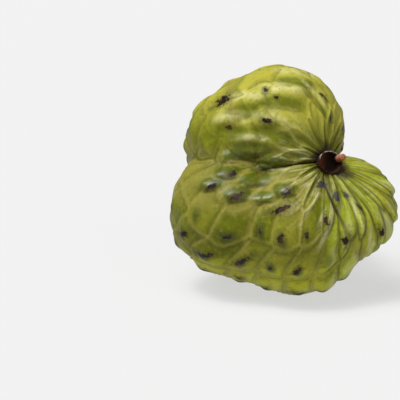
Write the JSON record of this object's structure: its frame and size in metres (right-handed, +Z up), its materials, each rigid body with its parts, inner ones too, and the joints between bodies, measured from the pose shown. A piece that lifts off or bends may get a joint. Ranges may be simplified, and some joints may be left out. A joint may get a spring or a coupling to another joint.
{
  "type": "custard apple",
  "caption": "Whole ripe fruit with overlapping rounded scales, long pleats round the stem hollow and a short torn woody stalk collar; lies on a small flat spot.",
  "frame": {"origin": "middle of the flat spot that the fruit rests on", "axes": "+Z up as the fruit lies, stem hollow towards +X, -Y and up"},
  "size_m": [0.0964, 0.0962, 0.0946],
  "materials": {
    "fruit_skin": "waxy olive green fruit skin with pale scale edges, brown scars and a soft sheen",
    "stem_bark": "dry dark brown torn stalk, rough and matte"
  },
  "bodies": {
    "root": {"fruit": "fruit_skin", "stem": "stem_bark"}
  },
  "joints": []
}
